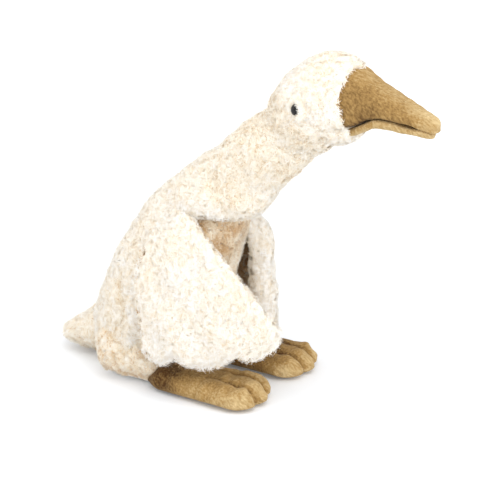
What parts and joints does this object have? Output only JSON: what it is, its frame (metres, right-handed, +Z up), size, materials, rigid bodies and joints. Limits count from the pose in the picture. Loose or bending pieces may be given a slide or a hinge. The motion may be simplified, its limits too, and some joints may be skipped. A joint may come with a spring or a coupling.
{
  "type": "plush goose",
  "caption": "Sitting plush goose with a stretched neck, velour beak and webbed feet, loose wing flaps and button eyes.",
  "frame": {"origin": "under the middle of the goose's bounding box, on the surface it sits on", "axes": "+Z up, -Y the way the beak points, -X the goose's own right side"},
  "size_m": [0.133, 0.3362, 0.2836],
  "materials": {
    "plush": "curly cream-white long pile",
    "velour": "short ochre pile",
    "button": "polished black"
  },
  "bodies": {
    "root": {"body": "plush", "tail": "plush", "leg_right": "plush", "leg_left": "plush", "wing_right": "plush", "wing_left": "plush", "foot_right": "velour", "foot_left": "velour", "beak_upper": "velour", "beak_lower": "velour", "eye_right": "button", "eye_left": "button"}
  },
  "joints": []
}
